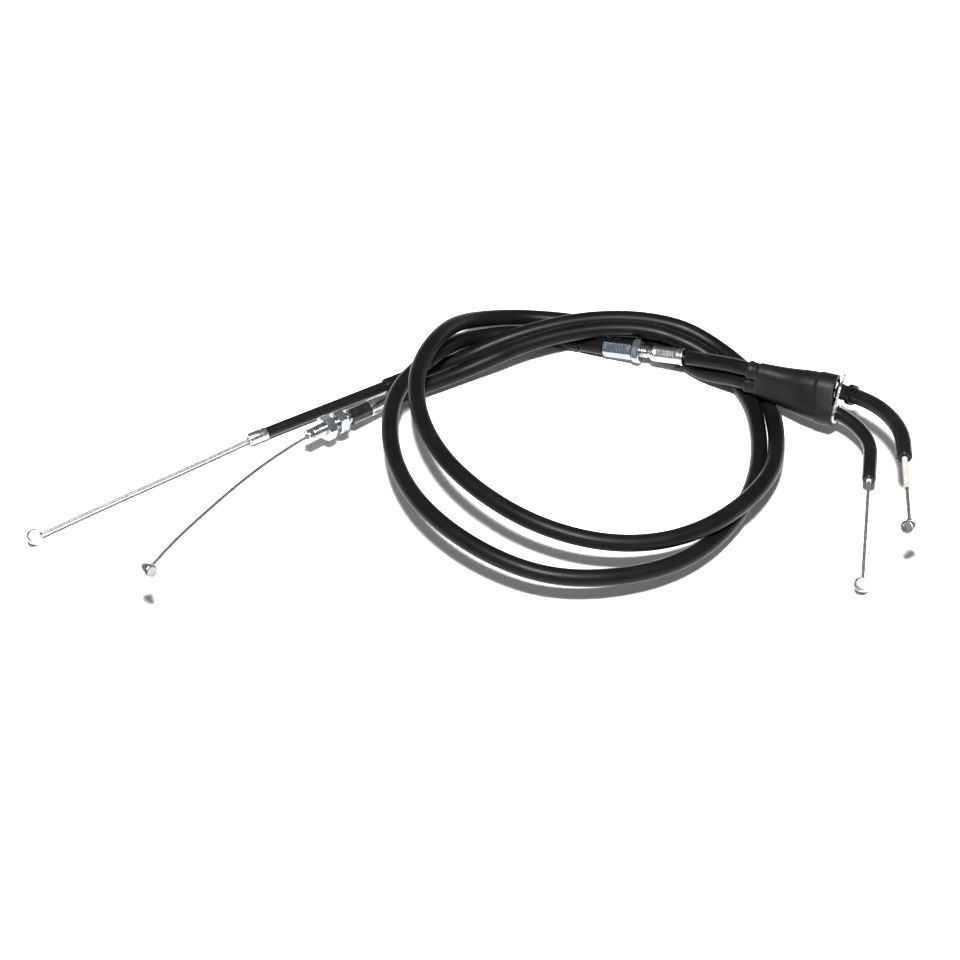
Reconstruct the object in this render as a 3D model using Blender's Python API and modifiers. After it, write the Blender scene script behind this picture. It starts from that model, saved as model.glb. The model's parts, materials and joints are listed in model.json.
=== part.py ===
"""A pair of push-pull throttle cables for a motorcycle: a pull cable and a return cable.

Each cable is a stranded wire that slides in a steel casing under a plastic cover. At the grip
end both cables enter one rubber boot and leave it as bent pipes. At the carburettor end the
pull cable has a threaded adjuster with two nuts, and the return cable has a plain tube. The
pull cable also has an in-line adjuster. The set lies loosely coiled on a flat surface, z = 0.
Lengths below are in millimetres and become metres through MM.
"""

from math import cos, radians, sin, sqrt

import bmesh
import bpy
from mathutils import Matrix, Vector

MM = 0.001

# Conduit and wire, as radii
COVER_RADIUS = 3.75
UPPER_COVER_RADIUS = 3.3
COVER_WALL = 1.0
CASING_RADIUS = 2.1
CASING_WALL = 0.95
WIRE_RADIUS = 0.75
WIRE_BORE = 1.35
GAP = 0.3

# Wire ends: what hides in the fitting at the carburettor, and at the grip
TAIL_HIDDEN = 24.0
TAIL_SHORT = 1.2

# Nipples
NIPPLE_RADIUS = 3.0
NIPPLE_LENGTH = 7.0
NIPPLE_HOLE = 1.15
NIPPLE_HOLE_DEPTH = 8.0
NIPPLE_EDGE = 0.3

# Threads and hexagons: across flats and thickness
NUT_FLATS = 10.0
NUT_THICK = 4.5
THREAD_RADIUS = 3.0
NUT_BORE = 3.3
HEXAGON_EDGE = 0.22
BARREL_FLATS = 8.0
BARREL_LENGTH = 13.7
LOCK_NUT_THICK = 3.5
SCREW_RADIUS = 2.75
BARREL_BORE = 3.05
FERRULE_RADIUS = 3.75

# The return cable's tube
TUBE_RADIUS = 2.5
TUBE_TIP_RADIUS = 2.85
TUBE_SLEEVE_RADIUS = 3.4

# Pipes at the grip end
PIPE_RADIUS = 3.5
RETURN_PIPE_RADIUS = 3.1
PIPE_WALL = 0.7
LINER_RADIUS = 1.9
LINER_WALL = 0.35

# Axes of the straight fittings: a point, and a second point that the axis runs to
RETURN_TIP = Vector((-99.2, 11.4, 4.2))
RETURN_TIP_TO = Vector((-30, 52.1, 4.2))
PULL_TIP = Vector((-72.1, 3, 14))
PULL_TIP_TO = Vector((-34.4, 36.2, 7.5))
ADJUSTER = Vector((62.2, 71.8, 6.1))
ADJUSTER_TO = Vector((102.2, 56.9, 12.1))
PULL_MOUTH = Vector((185.8, -18.1, 31))
PULL_MOUTH_TO = Vector((182.2, -67.3, 30))
RETURN_MOUTH = Vector((175.7, -4.4, 12))
RETURN_MOUTH_TO = Vector((164.3, -76.7, 4.6))

# Distances along those axes, from the first point
RETURN_FERRULE_END = 9.0
RETURN_SLEEVE_START = 69.5
RETURN_CONDUIT_START = 80.3
PULL_NUT_STARTS = {"pull_carb_nut_a": 9.0, "pull_carb_nut_b": 16.0}
PULL_THREAD_END = 24.0
PULL_KNURL_END = 35.0
PULL_CONDUIT_START = 47.5
ADJUSTER_SLEEVE_START = -11.5
LOCK_NUT_START = 14.3
SCREW_START = 3.0
SCREW_END = 22.5
ADJUSTER_FERRULE_END = 38.4
PULL_PIPE_END = 9.6
PULL_LINER_END = 27.0
RETURN_PIPE_END = 16.0
RETURN_LINER_END = 17.5

# Routes, as control points that a smooth curve follows
RETURN_ROUTE = [
    (-29.8, 52.2, 4.2), (-22.8, 56.2, 4.1), (-13.8, 60.9, 3.9), (-3.6, 65.8, 4), (4.2, 70.2, 5.6),
    (13.2, 72.6, 8.3), (23.2, 75.7, 10.5), (42.1, 80.9, 12.6), (60.1, 84.3, 12.8), (79.1, 84.5, 12.4),
    (96.1, 82.2, 10), (105.1, 78.3, 8), (113.3, 73.1, 5.6), (122.7, 64.2, 4), (133.8, 46.3, 3.76),
    (137.3, 23.6, 5), (135.7, 3.5, 8.5), (133, -12.9, 12.5), (127.5, -26.3, 16), (118.6, -40.3, 18.3),
    (104.1, -54.3, 19), (88, -63.1, 19), (71, -67.4, 19.7), (54.1, -68.2, 21.7), (37.3, -65.3, 24.3),
    (20.7, -57.7, 26), (4.2, -44.8, 27.5), (-11.4, -26.4, 28.2), (-22.1, -2.2, 29), (-24.7, 19.2, 30),
    (-22.4, 35.8, 30), (-15.6, 53.5, 28), (-7.7, 69.9, 22), (2.2, 83.4, 13), (18.2, 93.2, 6),
    (42.2, 93.9, 3.76), (66.2, 87.9, 3.76), (84.2, 77.4, 3.76), (95.2, 67.4, 3.76), (102.2, 60.4, 3.76),
    (107.2, 55.2, 4.6), (113.2, 49.7, 8), (119.1, 44.5, 11.6), (125.2, 40.3, 13), (131.2, 36.2, 13.3),
    (138, 32.6, 13.1), (145.6, 28.1, 13.6),
]
PULL_ROUTE = [
    (-36.4, 34.4, 7.9), (-27.7, 40.8, 7), (-17.7, 45.5, 7), (-6.7, 51.4, 7.5), (3.2, 55.4, 9.5),
    (12.2, 59, 11.5), (21.1, 64.1, 12.2), (31.1, 68.1, 12.9), (41.1, 71.4, 13.8), (60.1, 75.8, 14.1),
    (78.1, 76, 13.4), (88.2, 74.6, 11.9), (97.2, 70.6, 10.9), (104.2, 67.4, 9.1), (110.2, 64.1, 6.9),
    (116.2, 59, 4.9), (122.2, 50, 3.76), (127.7, 35.9, 3.76), (129, 21.1, 4.5), (128.3, 3.6, 6),
    (125.4, -14.3, 8), (119.2, -33, 9.8), (109.2, -49.7, 10.3), (95.2, -65.7, 11.5), (78.2, -76.5, 13.5),
    (61.2, -82.2, 15.5), (44.4, -84.6, 17), (27.7, -83.3, 18.8), (11, -76.6, 20.5), (-6.5, -64.6, 22.3),
    (-23, -45.6, 22.8), (-32.9, -21.8, 21.8), (-36.1, 2.2, 21), (-34.3, 22.1, 21), (-27.4, 36.2, 21),
    (-19.5, 47.7, 19.5), (-11.6, 63, 14.4), (-2.1, 76.4, 7.2), (8.2, 81.6, 4.1), (20.2, 83.7, 3.9),
    (33.2, 81.9, 3.8), (44.6, 78.4, 3.5), (50.8, 76.1, 4.4),
]
PULL_UPPER_ROUTE = [
    (98.6, 58.2, 11.6), (102.1, 56.9, 12.1), (111.1, 49.8, 16.4), (117.1, 45, 19.2), (123.2, 40.7, 20.9),
    (130.2, 37, 21.4), (136.1, 35.1, 20.9), (141.8, 33.1, 20.7), (147.4, 30.9, 20.9),
]
PULL_BEND = [
    (163.7, 24.4, 22), (166.4, 22.5, 22.5), (172.2, 17.2, 24.5), (179.6, 8.5, 27), (184.4, -3.5, 29.5),
    (186, -12.7, 30.6), (185.8, -18.1, 31),
]
RETURN_BEND = [
    (163.1, 17.3, 15), (165.9, 15.3, 14.7), (170.6, 10.7, 14), (174.3, 5.1, 13), (175.8, 0, 12.4),
    (175.7, -4.4, 12),
]
PULL_WIRE_BEND = [
    (-72.1, 3, 14), (-78.2, -3.5, 15), (-87.8, -15.7, 17.3), (-97, -29.5, 20), (-105.8, -44.3, 22.8),
    (-114.3, -59.7, 25.8), (-122.6, -75.3, 28.8), (-129.1, -89.3, 30.8),
]
RETURN_WIRE_BEND = [
    (-99.2, 11.4, 4.2), (-105.7, 6.6, 4.1), (-127.7, -8.7, 4.1), (-157.8, -28.9, 4.3), (-184.3, -47.4, 4.6),
]

# Nipples: centre, and the direction of the cylinder's axis
NIPPLES = {
    "pull_nipple_carb": ((-130.5, -92.5, 31), (0.58, -0.7, 0.41)),
    "pull_nipple_grip": ((182.2, -67.3, 30), (-0.6, -0.6, 0.53)),
    "return_nipple_carb": ((-186.2, -49.1, 4.6), (0.05, -0.47, 0.88)),
    "return_nipple_grip": ((164.3, -76.7, 4.6), (-0.35, -0.5, 0.79)),
}

# Boot: for each section the centres of its two channels and the radius around them
BOOT_SECTIONS = [
    ((129.4, 37.6, 21.2), (129.4, 37.5, 13.2), 4.5),
    ((134, 35.8, 21.1), (134.6, 34.4, 13.2), 4.8),
    ((142.8, 32.9, 20.5), (143.8, 29.2, 13.4), 5.6),
    ((149.2, 30, 21), (149.8, 25, 14), 6.7),
    ((156.7, 27.1, 21.5), (156.4, 21.2, 14.6), 6.9),
    ((162.7, 24.7, 22), (162.2, 18.3, 15), 6.6),
]
BOOT_RIM = 0.45
BOOT_RIM_SECTIONS = 2
BOOT_WALL = 1.5
PULL_COLLAR = (4.6, 3.85)
RETURN_COLLAR = (5.1, 4.35)
NECK_BORE = 3.9
COLLAR_LENGTH = 4.5
COLLAR_CONTROLS = 6

# Pieces in and at the boot; the collar on the pipe has a start, a length, a radius and a bore
ELBOW_COLLAR = (2.2, 2.6, 4.8, 4.1)
CRIMP_RADIUS = 3.8
PULL_CRIMP = (Vector((147.9, 30.7, 20.95)), Vector((162.8, 24.9, 21.95)))
RETURN_CRIMP = (Vector((146.3, 27.5, 13.65)), Vector((162, 18.2, 14.95)))
PLATE_RADIUS = 4.9
PLATE_HOLE = 4.0
PLATE_THICK = 1.0
PLATE_AT = 0.8
PLATE_CUT = 12.0
TAB_SIZE = (3.4, 4.0)
TAB_ROOT = 1.2

SIDES_TURNED = 20
STEP_ALONG = 15.0


# ---------------------------------------------------------------- collections and materials

def clear_scene():
    for obj in list(bpy.data.objects):
        bpy.data.objects.remove(obj, do_unlink=True)


def new_collection(name):
    collection = bpy.data.collections.new(name)
    bpy.context.scene.collection.children.link(collection)
    return collection


def material(name, colour, roughness, metallic=0.0):
    made = bpy.data.materials.new(name)
    made.use_nodes = True
    shader = made.node_tree.nodes["Principled BSDF"]
    shader.inputs["Base Color"].default_value = (*colour, 1.0)
    shader.inputs["Roughness"].default_value = roughness
    shader.inputs["Metallic"].default_value = metallic
    return made


clear_scene()
PARTS = new_collection("throttle_cables")
CUTTERS = new_collection("cutters")
COVER_VINYL = material("cover_vinyl", (0.018, 0.018, 0.019), 0.35)
BOOT_RUBBER = material("boot_rubber", (0.03, 0.03, 0.032), 0.55)
BLACK_METAL = material("black_metal", (0.015, 0.015, 0.015), 0.25, 0.6)
ZINC = material("zinc_steel", (0.62, 0.63, 0.65), 0.3, 1.0)
BARREL_STEEL = material("barrel_steel", (0.45, 0.49, 0.55), 0.32, 1.0)
WIRE_STEEL = material("wire_steel", (0.5, 0.5, 0.49), 0.35, 1.0)
CASING_STEEL = material("casing_steel", (0.3, 0.3, 0.3), 0.45, 1.0)
LINER_WHITE = material("liner_white", (0.35, 0.33, 0.3), 0.5)


# ---------------------------------------------------------------- curves through points

def smooth(controls, step=STEP_ALONG):
    """Evenly spaced points on a uniform cubic B-spline that starts and ends at the end points."""
    knots = [Vector(p) for p in controls]
    knots = [2 * knots[0] - knots[1], *knots, 2 * knots[-1] - knots[-2]]
    dense = []
    parts = 8
    for p0, p1, p2, p3 in zip(knots, knots[1:], knots[2:], knots[3:]):
        for i in range(parts):
            t = i / parts
            w0 = (1 - t) ** 3
            w1 = 3 * t**3 - 6 * t * t + 4
            w2 = -3 * t**3 + 3 * t * t + 3 * t + 1
            dense.append((w0 * p0 + w1 * p1 + w2 * p2 + t**3 * p3) / 6)
    dense.append(knots[-2].copy())
    lengths = [0.0]
    for a, b in zip(dense, dense[1:]):
        lengths.append(lengths[-1] + (b - a).length)
    count = max(2, round(lengths[-1] / step) + 1)
    points = []
    j = 0
    for i in range(count):
        want = lengths[-1] * i / (count - 1)
        while j < len(lengths) - 2 and lengths[j + 1] < want:
            j += 1
        share = (want - lengths[j]) / (lengths[j + 1] - lengths[j])
        points.append(dense[j].lerp(dense[j + 1], share))
    return points


def along(start, towards, distance):
    return start + (towards - start).normalized() * distance


def axis_matrix(start, towards, roll=0.0):
    """A frame in metres with its Z along the axis and its X level, turned by roll degrees."""
    z = (towards - start).normalized()
    x = Vector((0, 0, 1)).cross(z).normalized()
    y = z.cross(x)
    turn = Matrix((x, y, z)).transposed().to_4x4() @ Matrix.Rotation(radians(roll), 4, "Z")
    return Matrix.Translation(start * MM) @ turn


def axis_empty(name, start, towards, roll=0.0):
    empty = bpy.data.objects.new(name, None)
    PARTS.objects.link(empty)
    empty.matrix_world = axis_matrix(start, towards, roll)
    return empty


def hang(obj, empty):
    """Place an object that is made about its own Z axis on the axis of an empty."""
    obj.parent = empty
    obj.matrix_parent_inverse = Matrix.Identity(4)
    return obj


# ---------------------------------------------------------------- makers of solids

def place(name, data, look, collection=None):
    obj = bpy.data.objects.new(name, data)
    (collection or PARTS).objects.link(obj)
    data.materials.append(look)
    return obj


def swept(name, points, radius, look, caps=True, resolution=2):
    """A round rod along points, its object placed at the first point."""
    curve = bpy.data.curves.new(name, "CURVE")
    curve.dimensions = "3D"
    curve.bevel_depth = radius * MM
    curve.bevel_resolution = resolution
    curve.use_fill_caps = caps
    spline = curve.splines.new("POLY")
    spline.points.add(len(points) - 1)
    for at, point in zip(spline.points, points):
        at.co = (*((point - points[0]) * MM), 1.0)
    obj = place(name, curve, look)
    obj.location = points[0] * MM
    return obj


def hollow(name, points, radius, wall, look, resolution=2):
    """A tube along points: an open skin that is thickened inwards."""
    obj = swept(name, points, radius, look, caps=False, resolution=resolution)
    thicken(obj, wall)
    return obj


def thicken(obj, wall):
    skin = obj.modifiers.new("wall", "SOLIDIFY")
    skin.thickness = wall * MM
    skin.offset = -1.0


def turned(name, profile, look, empty):
    """A ring turned about Z. The profile holds (radius, height) from the top of the outside."""
    mesh = bpy.data.meshes.new(name)
    shape = bmesh.new()
    corners = [shape.verts.new((r * MM, 0, z * MM)) for r, z in profile]
    for a, b in zip(corners, corners[1:] + corners[:1]):
        shape.edges.new((a, b))
    shape.to_mesh(mesh)
    shape.free()
    obj = place(name, mesh, look)
    spin = obj.modifiers.new("turn", "SCREW")
    spin.steps = SIDES_TURNED
    spin.render_steps = SIDES_TURNED
    spin.use_merge_vertices = True
    spin.merge_threshold = 0.00001
    return hang(obj, empty)


def ring(name, radius, bore, start, end, look, empty, chamfer=0.25):
    """A plain bush from start to end along the axis, with its outer corners broken."""
    profile = [
        (bore, end), (radius - chamfer, end), (radius, end - chamfer),
        (radius, start + chamfer), (radius - chamfer, start), (bore, start),
    ]
    return turned(name, profile, look, empty)


def cutter(obj):
    obj.hide_render = True
    obj.display_type = "WIRE"
    for collection in list(obj.users_collection):
        collection.objects.unlink(obj)
    CUTTERS.objects.link(obj)
    return obj


def cylinder_cutter(name, radius, depth, matrix):
    mesh = bpy.data.meshes.new(name)
    shape = bmesh.new()
    bmesh.ops.create_cone(
        shape, cap_ends=True, segments=SIDES_TURNED,
        radius1=radius * MM, radius2=radius * MM, depth=depth * MM,
    )
    shape.to_mesh(mesh)
    shape.free()
    obj = cutter(place(name, mesh, ZINC))
    obj.matrix_world = matrix
    return obj


def cut(obj, tool, operation="DIFFERENCE"):
    step = obj.modifiers.new(tool.name, "BOOLEAN")
    step.operation = operation
    step.object = tool
    step.solver = "EXACT"


def hexagon(name, flats, bore, start, thick, look, empty):
    """A hexagonal nut or barrel with broken end corners and a round bore."""
    corner = flats / sqrt(3)
    mesh = bpy.data.meshes.new(name)
    shape = bmesh.new()
    bmesh.ops.create_cone(
        shape, cap_ends=True, segments=6, radius1=corner * MM, radius2=corner * MM,
        depth=thick * MM,
    )
    shape.to_mesh(mesh)
    shape.free()
    obj = place(name, mesh, look)
    hang(obj, empty)
    obj.location = (0, 0, (start + thick / 2) * MM)
    edges = obj.modifiers.new("edges", "BEVEL")
    edges.width = HEXAGON_EDGE * MM
    edges.segments = 1
    edges.limit_method = "ANGLE"
    edges.angle_limit = radians(75)
    centre = empty.matrix_world @ Matrix.Translation((0, 0, (start + thick / 2) * MM))
    cut(obj, cylinder_cutter(name + "_bore", bore, thick * 2, centre))
    return obj


# ---------------------------------------------------------------- the two conduits

def conduit(prefix, points, radius):
    """Plastic cover and steel casing over the same points."""
    hollow(prefix + "_cover", points, radius, COVER_WALL, COVER_VINYL)
    hollow(prefix + "_casing", points, CASING_RADIUS, CASING_WALL, CASING_STEEL)


def middle_wire(name, *stretches):
    points = [p for stretch in stretches for p in stretch]
    swept(name, points, WIRE_RADIUS, WIRE_STEEL)


# ---------------------------------------------------------------- wire ends and nipples

def wire_end(name, hidden, mouth, towards, bend, nipple):
    """The end of an inner wire: straight where it is hidden, then free as far as its nipple."""
    inner = along(mouth, towards, hidden)
    centre = Vector(NIPPLES[nipple][0])
    route = [inner, along(mouth, towards, hidden / 2)] + bend
    route[-1] = along(centre, route[-2], 1.0)
    points = [inner] + smooth(route[1:], 10.0)
    return swept(name, points, WIRE_RADIUS, WIRE_STEEL), points


def nipple(name, approach):
    """A short cylinder with a cross hole that the wire is soldered into."""
    centre, axis = (Vector(v) for v in NIPPLES[name])
    mesh = bpy.data.meshes.new(name)
    shape = bmesh.new()
    bmesh.ops.create_cone(
        shape, cap_ends=True, segments=SIDES_TURNED, radius1=NIPPLE_RADIUS * MM,
        radius2=NIPPLE_RADIUS * MM, depth=NIPPLE_LENGTH * MM,
    )
    shape.to_mesh(mesh)
    shape.free()
    obj = place(name, mesh, ZINC)
    obj.matrix_world = axis_matrix(centre, centre + axis)
    edges = obj.modifiers.new("edges", "BEVEL")
    edges.width = NIPPLE_EDGE * MM
    edges.segments = 1
    edges.limit_method = "ANGLE"
    edges.angle_limit = radians(60)
    middle = axis_matrix(along(centre, approach, NIPPLE_HOLE_DEPTH / 2 - GAP), approach)
    cut(obj, cylinder_cutter(name + "_hole", NIPPLE_HOLE, NIPPLE_HOLE_DEPTH, middle))
    return obj


# ---------------------------------------------------------------- boot

def stadium(first, second, normal, radius, arc=8):
    """Points of an outline around two channel centres, in the plane across them."""
    across = first - second
    across -= across.dot(normal) * normal
    across.normalize()
    aside = normal.cross(across)
    outline = []
    for centre, start in ((first, -90), (second, 90)):
        for i in range(arc + 1):
            angle = radians(start + 180 * i / arc)
            outline.append(centre + radius * (cos(angle) * across + sin(angle) * aside))
    return outline


def loft(name, outlines, look):
    """A closed solid through outlines that all have the same number of points."""
    mesh = bpy.data.meshes.new(name)
    shape = bmesh.new()
    rings = [[shape.verts.new(p * MM) for p in outline] for outline in outlines]
    count = len(rings[0])
    for near, far in zip(rings, rings[1:]):
        for i in range(count):
            j = (i + 1) % count
            shape.faces.new((near[i], near[j], far[j], far[i]))
    shape.faces.new(rings[0])
    shape.faces.new(rings[-1])
    bmesh.ops.recalc_face_normals(shape, faces=shape.faces)
    shape.to_mesh(mesh)
    shape.free()
    return place(name, mesh, look)


def boot_normal(index):
    before = BOOT_SECTIONS[max(index - 1, 0)]
    after = BOOT_SECTIONS[min(index + 1, len(BOOT_SECTIONS) - 1)]
    step = Vector(after[0]) + Vector(after[1]) - Vector(before[0]) - Vector(before[1])
    return step.normalized()


def boot_outlines(inset):
    outlines = []
    for i, (first, second, radius) in enumerate(BOOT_SECTIONS):
        rim = BOOT_RIM if i >= len(BOOT_SECTIONS) - BOOT_RIM_SECTIONS and not inset else 0.0
        outline = stadium(Vector(first), Vector(second), boot_normal(i), radius + rim - inset)
        outlines.append(outline)
    return outlines


def boot():
    """A rubber boot over both conduits: collars at one end, an open mouth at the other."""
    body = loft("boot", boot_outlines(0.0), BOOT_RUBBER)
    hollow_space = boot_outlines(BOOT_WALL)[1:]
    drift = boot_normal(len(BOOT_SECTIONS) - 1) * 2.0
    hollow_space[-1] = [p + drift for p in hollow_space[-1]]
    first, second, _ = BOOT_SECTIONS[1]
    hollow_space[0] = stadium(Vector(first), Vector(second), boot_normal(1), NECK_BORE)
    cavity = cutter(loft("boot_cavity", hollow_space, BOOT_RUBBER))
    collars = (
        ("pull", PULL_UPPER_ROUTE, *PULL_COLLAR), ("return", RETURN_ROUTE, *RETURN_COLLAR),
    )
    for label, route, outside, _ in collars:
        sleeve = swept(label + "_collar", collar_run(route), outside, BOOT_RUBBER, resolution=4)
        cut(body, cutter(as_mesh(sleeve)), "UNION")
    cut(body, cavity)
    for label, route, _, inside in collars:
        run = smooth(route[-COLLAR_CONTROLS:], 7.0)
        bore = swept(label + "_collar_bore", run, inside, BOOT_RUBBER, resolution=4)
        cut(body, cutter(as_mesh(bore)))
    return body


def collar_run(route):
    """The stretch of a conduit that its collar grips."""
    start = BOOT_SECTIONS[0][0][0] - COLLAR_LENGTH
    dense = smooth(route[-COLLAR_CONTROLS:], 1.5)
    return [p for p in dense if start <= p.x <= start + COLLAR_LENGTH + 2.0]


def as_mesh(obj):
    """A welded mesh object in place of a curve object."""
    graph = bpy.context.evaluated_depsgraph_get()
    mesh = bpy.data.meshes.new_from_object(obj.evaluated_get(graph))
    shape = bmesh.new()
    shape.from_mesh(mesh)
    bmesh.ops.remove_doubles(shape, verts=shape.verts, dist=0.000001)
    bmesh.ops.recalc_face_normals(shape, faces=shape.faces)
    shape.to_mesh(mesh)
    shape.free()
    made = bpy.data.objects.new(obj.name + "_solid", mesh)
    PARTS.objects.link(made)
    made.matrix_world = Matrix.Translation(obj.location)
    bpy.data.objects.remove(obj, do_unlink=True)
    return made


# ---------------------------------------------------------------- retaining plate

def retaining_plate():
    """A thin steel plate across the boot's mouth, with a hole for each pipe and a bent-up tab."""
    first = Vector(PULL_BEND[0])
    second = Vector(RETURN_BEND[0])
    normal = boot_normal(len(BOOT_SECTIONS) - 1)
    first = first + normal * PLATE_AT
    second = second + normal * ((first - second).dot(normal))
    outline = stadium(first, second, normal, PLATE_RADIUS)
    plate = loft("retaining_plate", [outline, [p + normal * PLATE_THICK for p in outline]], ZINC)
    across = (first - second).normalized()
    aside = normal.cross(across)
    wide, tall = TAB_SIZE
    base = first + across * (PLATE_RADIUS - TAB_ROOT)
    corners = [base - aside * wide / 2, base + aside * wide / 2]
    corners += [corners[1] + across * tall, corners[0] + across * tall]
    tab = loft("tab", [corners, [p + normal * PLATE_THICK for p in corners]], ZINC)
    cut(plate, cutter(tab), "UNION")
    for label, bend in (("pull", PULL_BEND), ("return", RETURN_BEND)):
        start = Vector(bend[0])
        matrix = axis_matrix(start, Vector(bend[1]))
        cut(plate, cylinder_cutter(label + "_plate_hole", PLATE_HOLE, PLATE_CUT, matrix))
    return plate


# ---------------------------------------------------------------- assembly

def pull_carb_end():
    axis = axis_empty("pull_carb_axis", PULL_TIP, PULL_TIP_TO, 18.0)
    neck = THREAD_RADIUS - 0.45
    profile = [
        (WIRE_BORE, PULL_THREAD_END), (neck, PULL_THREAD_END), (neck, 22.6), (2.9, 22.6),
        (2.9, 21.9), (neck, 21.9), (neck, 21.2), (THREAD_RADIUS, 20.9), (THREAD_RADIUS, 2.0),
        (neck, 1.7), (3.2, 1.4), (3.2, 0.0), (WIRE_BORE, 0.0),
    ]
    turned("pull_carb_adjuster", profile, ZINC, axis)
    for name, start in PULL_NUT_STARTS.items():
        hexagon(name, NUT_FLATS, NUT_BORE, start, NUT_THICK, ZINC, axis)
    ring(
        "pull_carb_crimp", FERRULE_RADIUS, WIRE_BORE, PULL_THREAD_END + GAP, PULL_KNURL_END,
        BLACK_METAL, axis,
    )
    ring(
        "pull_carb_ferrule", FERRULE_RADIUS, WIRE_BORE, PULL_KNURL_END + GAP,
        PULL_CONDUIT_START - GAP, ZINC, axis,
    )


def return_carb_end():
    axis = axis_empty("return_carb_axis", RETURN_TIP, RETURN_TIP_TO)
    ring("return_carb_ferrule", TUBE_TIP_RADIUS, WIRE_BORE, 0.0, RETURN_FERRULE_END, ZINC, axis)
    tube_start = RETURN_FERRULE_END + GAP
    tube_end = RETURN_CONDUIT_START - GAP
    ring("return_carb_tube", TUBE_RADIUS, WIRE_BORE, tube_start, tube_end, BLACK_METAL, axis)
    ring(
        "return_tube_sleeve", TUBE_SLEEVE_RADIUS, TUBE_RADIUS + GAP, RETURN_SLEEVE_START, tube_end,
        COVER_VINYL, axis,
    )


def in_line_adjuster():
    axis = axis_empty("adjuster_axis", ADJUSTER, ADJUSTER_TO, 0.0)
    profile = [
        (WIRE_BORE, -GAP), (3.9, -GAP), (3.8, -6.0), (3.55, ADJUSTER_SLEEVE_START),
        (WIRE_BORE, ADJUSTER_SLEEVE_START),
    ]
    turned("adjuster_sleeve", profile, COVER_VINYL, axis)
    hexagon("adjuster_barrel", BARREL_FLATS, BARREL_BORE, 0.0, BARREL_LENGTH, BARREL_STEEL, axis)
    lock_at = LOCK_NUT_START
    hexagon("adjuster_lock_nut", NUT_FLATS, BARREL_BORE, lock_at, LOCK_NUT_THICK, ZINC, axis)
    waist = SCREW_RADIUS - 0.4
    profile = [
        (WIRE_BORE, SCREW_END), (waist, SCREW_END), (waist, 21.4), (SCREW_RADIUS, 21.1),
        (SCREW_RADIUS, SCREW_START), (WIRE_BORE, SCREW_START),
    ]
    turned("adjuster_screw", profile, ZINC, axis)
    end = ADJUSTER_FERRULE_END
    start = SCREW_END + GAP
    profile = [
        (WIRE_BORE, end), (4.0, end), (4.0, end - 0.9), (3.6, end - 1.3), (3.7, end - 3),
        (3.7, start + 1.0), (3.2, start), (WIRE_BORE, start),
    ]
    turned("adjuster_ferrule", profile, ZINC, axis)


def grip_pipe(prefix, bend, mouth, mouth_to, pipe, pipe_end, liner_end):
    """A bent pipe with a plastic liner that stands out of its end."""
    straight = along(mouth, mouth_to, pipe_end)
    curve = smooth([*bend[:-1], mouth], 6.0)
    hollow(prefix + "_elbow_pipe", [*curve, straight], pipe, PIPE_WALL, BLACK_METAL)
    tip = along(mouth, mouth_to, liner_end)
    hollow(prefix + "_liner", [*curve, tip], LINER_RADIUS, LINER_WALL, LINER_WHITE)
    return curve


def crimp(name, ends):
    """The ferrule that joins a conduit to its pipe, inside the boot."""
    start, end = ends
    axis = axis_empty(name + "_axis", start, end)
    ring(name, CRIMP_RADIUS, WIRE_BORE, 0.0, (end - start).length, ZINC, axis, 0.4)


def collar(name, bend, start, length, radius, bore, look):
    axis = axis_empty(name + "_axis", Vector(bend[0]), Vector(bend[1]))
    middle = start + length / 2
    profile = [
        (bore, start + length), (radius, start + length), (radius, middle + 0.5),
        (radius - 0.6, middle + 0.3), (radius - 0.6, middle - 0.3), (radius, middle - 0.5),
        (radius, start), (bore, start),
    ]
    turned(name, profile, look, axis)


UPPER_POINTS = smooth(PULL_UPPER_ROUTE, 7.0)
RETURN_POINTS = smooth(RETURN_ROUTE)
PULL_POINTS = smooth(PULL_ROUTE)

conduit("return_conduit", RETURN_POINTS, COVER_RADIUS)
conduit("pull_conduit", PULL_POINTS, COVER_RADIUS)
conduit("pull_upper", UPPER_POINTS, UPPER_COVER_RADIUS)
pull_carb_end()
return_carb_end()
in_line_adjuster()

pull_curve = grip_pipe(
    "pull", PULL_BEND, PULL_MOUTH, PULL_MOUTH_TO, PIPE_RADIUS, PULL_PIPE_END, PULL_LINER_END,
)
return_curve = grip_pipe(
    "return", RETURN_BEND, RETURN_MOUTH, RETURN_MOUTH_TO, RETURN_PIPE_RADIUS,
    RETURN_PIPE_END, RETURN_LINER_END,
)
crimp("pull_grip_crimp", PULL_CRIMP)
crimp("return_grip_crimp", RETURN_CRIMP)
collar("pull_elbow_collar", PULL_BEND[1:], *ELBOW_COLLAR, BLACK_METAL)
boot()
retaining_plate()

# Inner wires: a fixed middle stretch, and a sliding end with its nipple at each fitting
pull_inner = along(PULL_TIP, PULL_TIP_TO, TAIL_HIDDEN + GAP)
middle_wire(
    "pull_inner_wire", [pull_inner], PULL_POINTS, [ADJUSTER, along(ADJUSTER, ADJUSTER_TO, 20.0)],
    UPPER_POINTS, pull_curve[:-1],
)
return_inner = along(RETURN_TIP, RETURN_TIP_TO, TAIL_HIDDEN + GAP)
middle_wire("return_inner_wire", [return_inner], RETURN_POINTS, return_curve[:-1])

for side, mouth, mouth_to, bend in (
    ("pull", PULL_TIP, PULL_TIP_TO, PULL_WIRE_BEND),
    ("return", RETURN_TIP, RETURN_TIP_TO, RETURN_WIRE_BEND),
):
    bend = [Vector(p) for p in bend]
    _, points = wire_end(side + "_wire_carb", TAIL_HIDDEN, mouth, mouth_to, bend, side + "_nipple_carb")
    nipple(side + "_nipple_carb", points[-2])

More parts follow.
